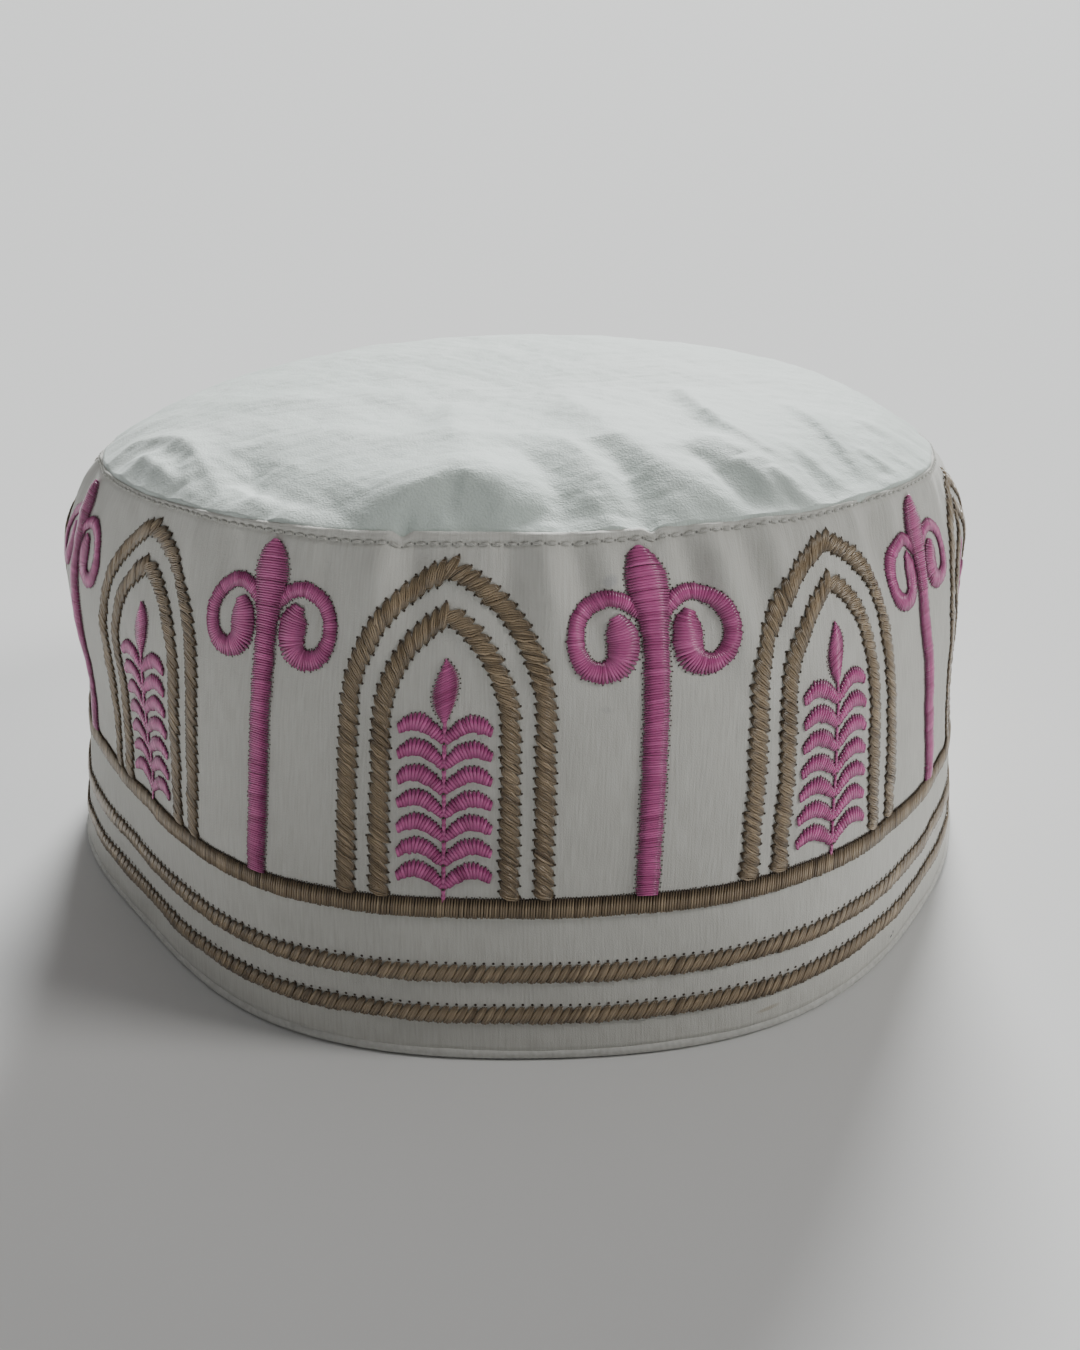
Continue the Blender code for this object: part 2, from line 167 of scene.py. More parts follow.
# Folds of the crown: points along the crest, half widths to the left and right of its run,
# height. Most run from the back to the front, and the others from left to right.
CROWN_FOLDS = (
    # tent at the front
    (((-28, -72.6), (-23.6, -70.4), (-19.9, -67.8), (-15.4, -65), (-11.5, -62.6),
      (-8, -65.2), (-4.7, -68.8), (-1, -73.2)), 10, 4.6, 2.7),
    (((-10, -63), (-11, -76)), 1.8, 1.8, 0.6),
    (((-5, -38), (-1.5, -52), (3.5, -72)), 6, 9, 1.1),
    # dips to the right of it, with a ridge between them
    (((-4, -44), (3, -59), (8, -77)), 5, 5, -1.9),
    (((14, -46), (17, -58), (20.5, -78)), 4, 4.5, -1.8),
    (((2, -38), (8.5, -50), (13, -59), (15.5, -70)), 3.4, 5.5, 1.5),
    # soft line behind the tent
    (((-14, -14), (-12.5, -34), (-12, -54)), 9, 5, 1.2),
    # long ridges and dips of the right half
    (((6, -6), (15.5, -41), (22, -54.5), (28.5, -61), (37, -67)), 9, 6, 1.8),
    (((29, -39), (34, -44), (41.5, -51), (51, -57.5)), 7, 6, 1.6),
    (((28, -47), (34, -56), (42, -68)), 2.6, 3, -1.4),
    (((29.6, -3), (33.4, -24), (37, -36), (40.5, -43), (46, -48)), 5, 1.9, 1.4),
    (((36.5, -51), (43.5, -60.5)), 3, 1.2, 0.9),
    (((42, -53), (48.5, -59.5)), 2.6, 1.2, 0.8),
    (((49, -12), (52, -18.5), (57.4, -35), (62, -48)), 4.5, 1.6, 1.1),
    (((47, -38), (56, -52)), 3, 1.8, 0.8),
    (((61, -33), (70, -40)), 3, 1.3, 0.8),
    (((60, -14), (74, -22)), 4, 2.4, 0.6),
    (((36, -63), (50, -54.5), (62, -43), (72, -27)), 10, 4, -1),
    # folds that gather at the left
    (((-78, -16), (-71.2, -19.1), (-65.9, -24), (-60.8, -32.4), (-55.3, -46.4),
      (-51, -57)), 3.2, 2.2, 1.3),
    (((-74, -25), (-70, -30), (-67, -36), (-61, -47)), 2.4, 2, 1.4),
    (((-60.6, -37), (-58.5, -52)), 2.2, 1.8, 0.9),
    (((-51, -50), (-43, -64)), 2.4, 2, 0.8),
    (((-49, -37), (-46, -58)), 3.4, 4, -1.3),
    (((-64, -38), (-50, -53), (-36, -63), (-25, -68)), 11, 4, -1.1),
    # broad swells of the left half
    (((-64, -6), (-36, -13), (-4, -4)), 9, 7, 0.9),
    (((-40, -30), (-22, -42), (-8, -38)), 6, 5, 0.7),
)
FOLD_CREST = 1.6
FOLD_ENDS = 0.7
FOLD_SCALE = 1.15
# Where the seam is drawn down: angle, half width in degrees, drop, reach into the cloth
NOTCHES = (
    (-16.4, 0.8, 1.1, 2.6),
    (12.9, 0.7, 0.9, 2.6),
    (122.0, 32.0, 1.8, 6.0),
    (-124.0, 30.0, 1.3, 6.0),
)

DOME = 10.5
DOME_POWER = 5
EDGE_POWER = 1.7
SEAM_FADE = 30
CROWN_STATIONS = 500
CROWN_RINGS = np.concatenate([np.linspace(0.02, 0.80, 64), np.linspace(0.807, 1.0, 36)])
# Rings that the underside repeats, counted from the seam
UNDER_RINGS = (8, 20, 32, 46, 60, 76, 90, 100)
# Where the band's fold shows at the seam: middle, half angle. Elsewhere the crown lies over it.
LIP_OPEN = (-10.0, 28.0)
LIP_SHOWS = 0.72
CROWN_RISE = 0.12
CROWN_SINK = 0.05
CROWN_OVERLAP = 0.12
LIP_TUCK = 0.5
STITCH_CLOSER = 0.5
# The crown's seam allowance inside the band: from and to which height, and the gap to the wall
SKIRT_TOP = 91.4
SKIRT_LOW = 83.0
SKIRT_GAP = 0.3
# Pleats that run in from the seam, with ranges of half width, lean, reach and height
GATHERS = 74
GATHER_RUN = 80.0
GATHER_RANGES = ((0.9, 1.8), (-0.25, 0.25), (3.0, 11.0), (0.15, 0.55))
GATHER_SINK = -0.8

# Embroidery: eight repeats, each a column and an arch. A rise or a bow is a pair: what every
# stitch has, and what its width or chance adds.
REPEATS = 8
REPEAT_STEP = 360.0 / REPEATS
COLUMN_START = 12.4
ARCH_START = -10.1
BASE_BAND = (28.0, 32.0)
CORD_STRIPES = {"cord_stripe_lower": (7.1, 11.0), "cord_stripe_upper": (15.3, 19.3)}
FOOT = 32.0

# name: half span, height of the spring, height of the apex
ARCHES = {"arch_outer": (17.2, 65.0, 88.7), "arch_inner": (11.3, 63.0, 81.8)}
ARCH_LINE = 3.7
ARCH_BAR = 1.9
ARCH_BAR_THREADS = 5
ARCH_AHEAD = 0.75
ARCH_POINTS = 24
ARCH_ABOVE = 0.2
ARCH_JITTER = 0.10
ARCH_SPREAD = 0.31
ARCH_RISE = (0.08, 0.16)
ARCH_BOW = (0.62, 0.04)

# Bud and bar of the column: height and half width, from the top down
COLUMN_ROWS = (
    (91.2, 0.6), (90.4, 2.1), (88.6, 3.3), (85.8, 3.95), (82.6, 3.6), (79.8, 2.9), (76.5, 2.35),
    (70.0, 2.3), (57.0, 2.2), (44.0, 2.2), (FOOT, 2.1),
)
COLUMN_STEP = 0.42
COLUMN_JITTER = 0.09
COLUMN_TILT = (0.14, 0.31)
COLUMN_RISE = (0.26, 0.15)
COLUMN_BOW = (0.25, 0.03)
# One scroll, from the bar over the top and round to its eye: across, height, width
SCROLL_ROWS = (
    (2.0, 81.4, 2.8), (4.7, 83.4, 2.7), (7.8, 83.9, 2.8), (11.2, 82.1, 2.9), (12.8, 79.0, 3.0),
    (12.8, 75.8, 3.1), (11.2, 73.0, 3.4), (8.3, 72.2, 3.8), (5.9, 73.7, 5.0), (5.35, 76.3, 5.6),
    (5.7, 79.0, 5.2), (6.4, 80.9, 2.4),
)
SCROLL_STEP = 0.43
SCROLL_JITTER = 0.07
SCROLL_RISE = (0.15, 0.05)

# Where the cloth's pull leans a column's bud: number of the column, millimetres at the top
BUD_LEANS = {1: -2.2}
BUD_LEAN_FROM = 76.0
BUD_LEAN_POWER = 1.5

FERN_PAIRS = 7
FERN_LEAF_TOP = 61.4
FERN_LEAF_STEP = 4.45
# One leaf from its root: across, up, width
LEAF_ROWS = (
    (0.3, -0.4, 1.7), (2.2, 1.4, 2.7), (4.4, 2.5, 3.25), (6.3, 2.3, 3.0), (7.9, 1.2, 1.9),
)
LEAF_STEP = 0.58
LEAF_LEAN = (-0.25, 0.6)
LEAF_JITTER = 0.08
LEAF_RISE = 0.16
# Almond bud of the fern: height and half width
FERN_BUD_ROWS = ((74.5, 0.2), (72.4, 1.6), (69.8, 2.5), (67.0, 2.0), (64.1, 0.5))
FERN_BUD_STEP = 0.42
FERN_BUD_RISE = (0.18, 0.16)
STEM_STEP = 1.1
STEM_HALF = 0.24
STEM_CROSS = 1.6
STEM_STITCH = 1.9
STEM_RISE = 0.14
ROOT_DROP = 0.9
ROOT_LIFT = 0.62

# Broad base band of upright threads, over a strip of painted shade that shows in the gaps between
# them
BASE_THREADS = 1180
BASE_UNEVEN = 0.025
BASE_SLANT = 0.12
BASE_JITTER = 0.08
BASE_WIDER = 0.02
BASE_RISE = (0.2, 0.1)
SHADE_STRIP_LIFT = 0.08

# Cord stripes: bars of three threads, with the spread of the threads at the foot and the head
CORD_BARS = 340
CORD_LEAN = 1.9
CORD_SPREAD = (0.95, 0.55)
CORD_JITTER = 0.08
CORD_RISE = 0.22
CORD_BOW = 0.2

# Topstitch: half length, lift, and the way from its middle to the next needle hole
TOPSTITCH_HALF = 0.85
TOPSTITCH_RISE = 0.12
TOPSTITCH_HOLE = 1.21

# Threads: width, thickness, share of the width at the ends, taper, places of the rings along it
PLAIN_RINGS = (0.14, 0.5, 0.86)
THREADS = {
    "arch": (0.42, 0.38, 0.8, 0.0, PLAIN_RINGS),
    "column": (1.12 * COLUMN_STEP, 0.36, 0.7, 0.0, (0.08, 0.28, 0.5, 0.72, 0.92)),
    "scroll": (1.2 * SCROLL_STEP, 0.34, 0.9, -0.4, (0.07, 0.5, 0.94)),
    "leaf": (1.15 * LEAF_STEP, 0.38, 0.92, 0.0, (0.06, 0.5, 0.92)),
    "bud": (0.46, 0.34, 0.7, 0.0, PLAIN_RINGS),
    "stem": (0.55, 0.34, 0.7, 0.0, PLAIN_RINGS),
    "base": (0.46, 0.46, 0.7, 0.7, (0.08, 0.5, 0.95)),
    "cord": (0.66, 0.42, 0.8, 0.0, (0.07, 0.5, 0.9)),
    "seam": (0.50, 0.36, 0.7, 0.0, PLAIN_RINGS),
}
THREAD_ARCH = 2.5
RING_POINTS = 6
STITCH_STEP = 3.1
# Needle holes, drawn as small discs of painted shade: radius, lift off the cloth, and how far they
# lie outside a thread's end
HOLES = {
    "arch": 0.23, "column": 0.15, "scroll_outer": 0.15, "scroll_inner": 0.13, "leaf": 0.15,
    "bud": 0.16, "root": 0.28, "base": 0.15, "cord": 0.27, "seam": 0.20,
}
HOLE_LIFT = 0.05
HOLE_AWAY = 0.05
HOLE_ASIDE = 0.08

# Colours, from dark to light
BAND_WHITES = ((0.62, 0.61, 0.565), (0.71, 0.705, 0.66))
CROWN_WHITES = ((0.665, 0.755, 0.705), (0.735, 0.81, 0.765))
HEM_WHITES = ((0.60, 0.595, 0.56), (0.72, 0.715, 0.68))
BROWNS = ((0.19, 0.135, 0.08), (0.50, 0.38, 0.245))
PINKS = ((0.47, 0.075, 0.25), (0.78, 0.18, 0.465))
# Painted shade of the needle holes and of the strip under the base band
HOLE_PAINTED_SHADES = ((0.05, 0.038, 0.03), (0.11, 0.085, 0.07))
# Painted shade at both ends of each thread, where it sinks into its needle holes: over this share
# of its length, down to this shade
THREAD_END = 0.35
THREAD_END_PAINTED_SHADE = 0.55

# Camera, in metres and degrees, as it stood for a photo of 1080 by 1350
CAMERA_PLACE = (0.0029, -0.3602, 0.206)
CAMERA_PAN = 0.37
CAMERA_PITCH = -25.9
CAMERA_ROLL = -1.1
CAMERA_LENS = 50.1
SENSOR_HEIGHT = 36.0

# Floor, in metres
FLOOR_LEVEL = -0.0002
FLOOR_REACH = 20.0

# Lights: turn from the back (+Y) towards the right, climb above the floor, strength, softness in
# degrees, colour
LIGHTS = {
    "window": (10.0, 27.0, 6.2, 22.0, (0.98, 1.0, 1.0)),
    "ceiling": (-10.0, 80.0, 0.35, 60.0, (1.0, 1.0, 1.0)),
    "side": (100.0, 38.0, 1.2, 18.0, (1.0, 0.99, 0.96)),
    "left": (-100.0, 30.0, 0.2, 50.0, (1.0, 0.99, 0.97)),
}
ROOM_COLOUR = (0.97, 0.98, 1.0)
ROOM_STRENGTH = 0.05


# Shapes of the cloth

def bend(a, b, c, d, t):
    """A place between b and c on a smooth curve through all four."""
    return 0.5 * (2 * b + (c - a) * t + (2 * a - 5 * b + 4 * c - d) * t * t
                  + (3 * b - a - 3 * c + d) * t ** 3)


def outline_row(angle):
    """The outline's sizes at each angle, smooth between the rows."""
    place = (np.asarray(angle, float) + 180.0) / OUTLINE_STEP
    first = np.floor(place).astype(int)
    t = (place - first)[..., None]
    return bend(*(OUTLINE[(first + k) % len(OUTLINE)] for k in (-1, 0, 1, 2)), t)


def up_the_wall(radii, share):
    """The radius at a share of the height, a smooth curve through the four radii."""
    marks = OUTLINE_LEVELS
    slopes = [(radii[..., k + 1] - radii[..., k]) / (marks[k + 1] - marks[k]) for k in range(3)]
    bends = [slopes[0], None, None, slopes[2] * SEAM_BEND]
    for k in (1, 2):
        below = marks[k] - marks[k - 1]
        above = marks[k + 1] - marks[k]
        bends[k] = (slopes[k - 1] * above + slopes[k] * below) / (below + above)
    radius = np.zeros(share.shape)
    for k in range(3):
        span = marks[k + 1] - marks[k]
        t = (share - marks[k]) / span
        curve = (radii[..., k] * (1 + 2 * t) * (1 - t) ** 2 + bends[k] * span * t * (1 - t) ** 2
                 + radii[..., k + 1] * t * t * (3 - 2 * t)
                 + bends[k + 1] * span * t * t * (t - 1))
        radius = np.where((share >= marks[k]) | (k == 0), curve, radius)
    return radius


def bell(distance):
    """A smooth bump, 1 at 0 and gone by about 2."""
    return np.exp(-distance * distance)


def angles_round(count):
    """Even angles all the way round."""
    return np.arange(count) * 360.0 / count


def columns(*values):
    """Numbers side by side, as the columns of rows."""
    return np.stack(values, axis=-1)


def aside(along):
    """The direction to the left of each direction along flat cloth."""
    return columns(-along[:, 1], along[:, 0])


def turn_between(a, b):
    """The turn from b to a, from -180 to 180."""
    return (a - b + 180.0) % 360.0 - 180.0


def wall(angle, height):
    """Points on the outside of the band's cloth, before its fine relief."""
    angle, height = np.broadcast_arrays(np.asarray(angle, float), np.asarray(height, float))
    raised = np.maximum(0.0, (height - PLAIN_TOP) / (CAP_HEIGHT - PLAIN_TOP))
    turned = angle + outline_row(angle)[..., 5] * raised
    row = outline_row(turned)
    radius = up_the_wall(row[..., :4], height / CAP_HEIGHT)
    for fold_angle, fold_height, half_angle, half_height, push in BAND_FOLDS:
        across = turn_between(turned, fold_angle) / half_angle
        along = (height - fold_height) / half_height
        radius = radius + push * bell(across) * bell(along)
    level = np.where(height < PLAIN_TOP, height, PLAIN_TOP + raised * (row[..., 4] - PLAIN_TOP))
    around = np.radians(turned)
    return columns(radius * np.sin(around) - PLAN_CENTRE[0],
                   -radius * np.cos(around) - PLAN_CENTRE[1], level)


def unit(vectors):
    return vectors / np.maximum(np.linalg.norm(vectors, axis=-1, keepdims=True), 1e-9)


def wall_normal(angle, height):
    """Outward directions of the band's cloth."""
    reach = 0.5
    top = np.minimum(height, CAP_HEIGHT - reach)
    around = wall(angle + reach, top) - wall(angle - reach, top)
    up = wall(angle, top + reach) - wall(angle, top - reach)
    return unit(np.cross(around, up))


def off_wall(angle, height, away):
    """Points that lie away from the band's cloth, outside it if away is above 0."""
    return wall(angle, height) + wall_normal(angle, height) * away


def ripple(points, length, seed):
    """Gentle random waves of about one length at places in space, mostly from -1 to 1."""
    random = np.random.default_rng(seed)
    total = np.zeros(points.shape[:-1])
    for _ in range(WAVE_COUNT):
        direction = unit(random.normal(size=3))
        step = 2.0 * math.pi / (length * random.uniform(*WAVE_LENGTHS))
        total += np.sin(points @ direction * step + random.uniform(0.0, 2.0 * math.pi))
    return total / math.sqrt(WAVE_COUNT)


def waves(points, rows):
    """Ripples of several lengths together."""
    return sum(height * ripple(points, length, seed) for height, length, seed in rows)


def covered(angle):
    """How far the crown lies over the band's fold, from 0 at the front to 1."""
    middle, half_angle = LIP_OPEN
    return 1.0 - bell(turn_between(angle, middle) / half_angle)


def pucker_rows():
    """The named puckers at the front, and even ones round the rest of the seam."""
    random = np.random.default_rng(11)
    rows = list(SEAM_PUCKERS)
    for k in range(BACK_PUCKERS):
        angle = BACK_START + (k + random.uniform(0.2, 0.8)) * (BACK_SPAN / BACK_PUCKERS)
        height, half_width, slant, reach = (random.uniform(*ends) for ends in BACK_RANGES)
        rows.append((angle, half_width, slant, reach, height * (1 if k % 2 else -1)))
    return rows


PUCKERS = pucker_rows()


def band_relief(angle, height):
    """Fine shape of the band's cloth: its lip, topstitch groove, puckers and soft waves."""
    points = wall(angle, height)
    relief = waves(points, BAND_WAVES)
    down = np.maximum(0.0, SEAM_LIP - height)
    fan = 1 + down / PUCKER_FAN
    flat, flat_reach = PUCKER_FLAT
    for pucker_angle, half_width, slant, reach, push in PUCKERS:
        across = turn_between(angle, pucker_angle + slant * down) / (half_width * fan)
        depth = bell(down / reach) * (1.0 - flat * bell(down / flat_reach))
        relief = relief + PUCKER_HEIGHT * push * bell(across) * depth
    stitch_wave = np.cos(np.radians(angle) * TOPSTITCHES)
    reach, depth, change = GROOVE
    groove = bell((height - TOPSTITCH - STITCH_CLOSER * covered(angle)) / reach)
    relief = relief - groove * (depth + change * stitch_wave)
    reach, rise, change = LIP
    relief = relief + bell((height - SEAM_LIP) / reach) * (rise - change * stitch_wave)
    pull = np.zeros(np.shape(relief))
    reach, depth = STRIPE_PULL
    for low, high in (BASE_BAND, *CORD_STRIPES.values()):
        pull = pull + bell((height - 0.5 * (low + high)) / (reach * (high - low)))
    relief = relief - depth * pull
    return relief * np.clip((height - RIM_FADE[0]) / RIM_FADE[1], 0.0, 1.0)


def notch_drop(angle, height):
    """How far the pinches pull the seam down."""
    total = np.zeros(np.broadcast(angle, height).shape)
    for notch_angle, half_width, drop, reach in NOTCHES:
        across = turn_between(angle, notch_angle) / half_width
        total += drop * bell(across) * bell((CAP_HEIGHT - height) / reach)
    return total


def on_band(angle, height, lift):
    """Points that lie lift outside the band's cloth."""
    points = off_wall(angle, height, (band_relief(angle, height) + lift)[..., None])
    points[..., 2] -= notch_drop(angle, height)
    return points


# Meshes

def put(name, data):
    """A new object in the scene."""
    made = bpy.data.objects.new(name, data)
    bpy.context.scene.collection.objects.link(made)
    return made


def add_piece(name, vertices, faces, materials, node, uv=None, marks=None):
    """A named mesh from vertices in millimetres, standing for a node."""
    mesh = bpy.data.meshes.new(name)
    mesh.from_pydata((vertices * MM).tolist(), [], faces)
    if uv is not None:
        layer = mesh.uv_layers.new(name="cloth")
        layer.data.foreach_set("uv", np.asarray(uv, np.float32).ravel())
    for material in materials:
        mesh.materials.append(material)
    if marks is not None:
        mesh.polygons.foreach_set("material_index", marks)
    mesh.shade_smooth()
    mesh.update()
    piece = put(name, mesh)
    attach(piece, "root")
    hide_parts(node)
    return piece


def ring_faces(loops, count, closed=True):
    """Faces between loops of count points each, and each corner's place as loop and step."""
    k = np.arange(loops if closed else loops - 1)[:, None]
    i = np.arange(count)[None, :]
    nxt = (i + 1) % count
    up = (k + 1) % loops
    faces = columns(k * count + i, k * count + nxt, up * count + nxt, up * count + i)
    steps = np.stack(np.broadcast_arrays(i, i + 1, i + 1, i), axis=-1)
    rows = np.stack(np.broadcast_arrays(k, k, up, up), axis=-1)
    rows, steps = np.broadcast_arrays(rows, steps)
    return faces.reshape(-1, 4).tolist(), rows.reshape(-1, 4), steps.reshape(-1, 4)


def build_band(material):
    """The band: its outside, the rolled lip at the seam and the plain inside."""
    angle = angles_round(BAND_STATIONS)
    outside = np.concatenate([np.arange(*levels) for levels in OUTSIDE_LEVELS])
    heights = list(outside)
    loops = [on_band(angle, height, 0.0) for height in outside]
    edge = wall(angle, CAP_HEIGHT)
    normal = wall_normal(angle, CAP_HEIGHT)
    ruffle = LIP_RUFFLE * np.cos(np.radians(angle) * TOPSTITCHES)
    ruffle = ruffle + notch_drop(angle, CAP_HEIGHT) + LIP_TUCK * covered(angle)
    for turn in LIP_TURNS:
        out = -LIP_DEPTH + LIP_DEPTH * math.cos(math.radians(turn))
        rise = LIP_ROLL * math.sin(math.radians(turn)) - LIP_SET
        loop = edge + normal * out
        loop[:, 2] += rise - ruffle
        loops.append(loop)
        heights.append(CAP_HEIGHT + turn / 100.0)
    for height in INSIDE_LEVELS:
        inner = -WALL + waves(wall(angle, height), LINING_WAVES)
        loops.append(off_wall(angle, height, inner[:, None]))
        heights.append(2.0 * CAP_HEIGHT - height)
    faces, rows, steps = ring_faces(len(loops), BAND_STATIONS)
    level = np.array(heights)[rows]
    uv = columns(steps * 360.0 / BAND_STATIONS * ARC_PER_DEGREE, level) * MM
    return add_piece("band_cloth", np.concatenate(loops), faces, [material], "band",
                     uv=uv)


def build_hem(material):
    """The rolled lower edge, with the slanting ridges of its twisted cloth."""
    angle = angles_round(HEM_STATIONS)
    loops = []
    for offset, height, ridged in HEM_SECTION:
        twist = np.cos(np.radians(angle) * HEM_RIDGES + height * HEM_SLANT)
        loop = off_wall(angle, HEM_LEVEL, (offset + HEM_RIDGE * ridged * twist)[:, None])
        loop[:, 2] = height
        loops.append(loop)
    faces, rows, steps = ring_faces(len(loops), HEM_STATIONS)
    along = steps * 360.0 / HEM_STATIONS * ARC_PER_DEGREE
    uv = columns(along, rows * HEM_ROW) * MM
    return add_piece("hem_edge", np.concatenate(loops), faces, [material], "hem_roll",
                     uv=uv)


def fold_lift(x, y):
    """How far the folds lift or sink the crown at each place."""
    total = np.zeros(x.shape)
    for points, left, right, height in CROWN_FOLDS:
        points = np.array(points)
        runs = np.diff(points, axis=0)
        lengths = np.hypot(*runs.T)
        nearest = np.full(x.shape, np.inf)
        lift = np.zeros(x.shape)
        for k, (run_x, run_y) in enumerate(runs):
            off_x = x - points[k, 0]
            off_y = y - points[k, 1]
            t = np.clip((off_x * run_x + off_y * run_y) / lengths[k] ** 2, 0.0, 1.0)
            off_x = off_x - run_x * t
            off_y = off_y - run_y * t
            distance = np.hypot(off_x, off_y)
            half_width = np.where(run_x * off_y > run_y * off_x, left, right)
            share = (lengths[:k].sum() + t * lengths[k]) / lengths.sum()
            ends = (4.0 * share * (1.0 - share)) ** FOLD_ENDS
            here = FOLD_SCALE * height * ends * np.exp(-(distance / half_width) ** FOLD_CREST)
            lift = np.where(distance < nearest, here, lift)
            nearest = np.minimum(nearest, distance)
        total += lift
    return total


def gather_lift(angle, share):
    """Small pleats that run in from the seam all round the crown."""
    random = np.random.default_rng(21)
    total = np.zeros(np.broadcast(angle, share).shape)
    inwards = (1.0 - share) * GATHER_RUN
    for k in range(GATHERS):
        place = (k + random.uniform(0.15, 0.85)) * 360.0 / GATHERS
        half_width, lean, reach, height = (random.uniform(*ends) for ends in GATHER_RANGES)
        across = turn_between(angle, place + lean * inwards) / half_width
        height = height * (1 if k % 2 else GATHER_SINK)
        total += height * bell(across) * bell(inwards / reach)
    return total


def build_crown(material):
    """The domed top, its wrinkles and the seam allowance that hangs inside the band."""
    angle = angles_round(CROWN_STATIONS)
    over = covered(angle)
    high = CAP_HEIGHT + CROWN_RISE * (1.0 - over) - CROWN_SINK * over
    shows = LIP_SHOWS * (1.0 - over) - CROWN_OVERLAP * over
    edge = off_wall(angle, high, -shows[:, None])
    centre = np.array([-PLAN_CENTRE[0], -PLAN_CENTRE[1]])
    middle = edge[:, 2].mean()
    loops = []
    for share in CROWN_RINGS:
        flat = (edge[:, :2] - centre) * share
        x = flat[:, 0]
        y = flat[:, 1]
        z = middle + (edge[:, 2] - middle) * share ** EDGE_POWER
        z = z + DOME * (1.0 - share ** DOME_POWER)
        place = columns(x, y, np.zeros(x.shape))
        fade = 1.0 - share ** SEAM_FADE
        lift = fold_lift(x, y) * fade
        fine = gather_lift(angle, share) + waves(place, CROWN_WAVES) * fade
        z = z - notch_drop(angle, CAP_HEIGHT - (1.0 - share) * MEAN_RADIUS)
        loops.append(columns(x + centre[0], y + centre[1], z + lift + fine))
    near = WALL + SKIRT_GAP
    far = near + CROWN_CLOTH
    skirt = ((SKIRT_TOP, near), (SKIRT_LOW, near), (SKIRT_LOW, far), (SKIRT_TOP, far))
    loops += [off_wall(angle, height, -depth) for height, depth in skirt]
    for back in UNDER_RINGS:
        under = loops[len(CROWN_RINGS) - back].copy()
        under[:, 2] -= CROWN_CLOTH
        loops.append(under)
    faces = ring_faces(len(loops), CROWN_STATIONS, closed=False)[0]
    vertices = np.concatenate(loops)
    peak = loops[0].mean(axis=0)
    vertices = np.concatenate([vertices, [peak, peak - (0.0, 0.0, CROWN_CLOTH)]])
    last = (len(loops) - 1) * CROWN_STATIONS
    for i in range(CROWN_STATIONS):
        nxt = (i + 1) % CROWN_STATIONS
        faces.append((nxt, i, len(vertices) - 2))
        faces.append((last + i, last + nxt, len(vertices) - 1))
    return add_piece("crown_cloth", vertices, [tuple(reversed(f)) for f in faces], [material],
                     "crown")


# Stitches

def threads(kind, start, end, rise, bow, wider):
    """Stitches of one kind from start to end on flat cloth, as closed threads.

    Gives their points, one row for each stitch, as across, up and lift. A taper above 0 makes
    the start wider than the end.
    """
    width, thick, ends, taper, stations = THREADS[kind]
    count = len(start)
    bow = np.broadcast_to(bow, (count,))[:, None]
    width = np.broadcast_to(width + wider, (count,))[:, None]
    rise = np.broadcast_to(rise, (count,))[:, None]
    along = end - start
    side = unit(aside(along))
    turns = np.radians(angles_round(RING_POINTS))
    rows = [np.concatenate([start, np.zeros((count, 1))], axis=1)[:, None, :]]
    for t in stations:
        full = 4.0 * t * (1.0 - t)
        middle = start + along * t + side * bow * full
        half = 0.5 * width * (ends + (1.0 - ends) * full) * (1.0 + taper * (0.5 - t))
        flat = middle[:, None, :] + side[:, None, :] * (half * np.cos(turns))[..., None]
        arch = rise * (1.0 - abs(2.0 * t - 1.0) ** THREAD_ARCH)
        up = arch + 0.5 * thick * (1.0 + np.sin(turns))
        rows.append(np.concatenate([flat, np.broadcast_to(up, (count, RING_POINTS))[..., None]],
                                   axis=2))
    rows.append(np.concatenate([end, np.zeros((count, 1))], axis=1)[:, None, :])
    return np.concatenate(rows, axis=1)


def thread_faces(count, stations, first):
    """Faces of count closed threads that each have that many rings."""
    n = RING_POINTS
    one = []
    for k in range(n):
        one.append((0, 1 + k, 1 + (k + 1) % n))
        last = 1 + (stations - 1) * n
        one.append((last + n, last + (k + 1) % n, last + k))
    for ring in range(stations - 1):
        here = 1 + ring * n
        for k in range(n):
            nxt = (k + 1) % n
            one.append((here + k, here + n + k, here + n + nxt, here + nxt))
    size = stations * n + 2
    return [tuple(first + size * j + v for v in face) for j in range(count) for face in one]


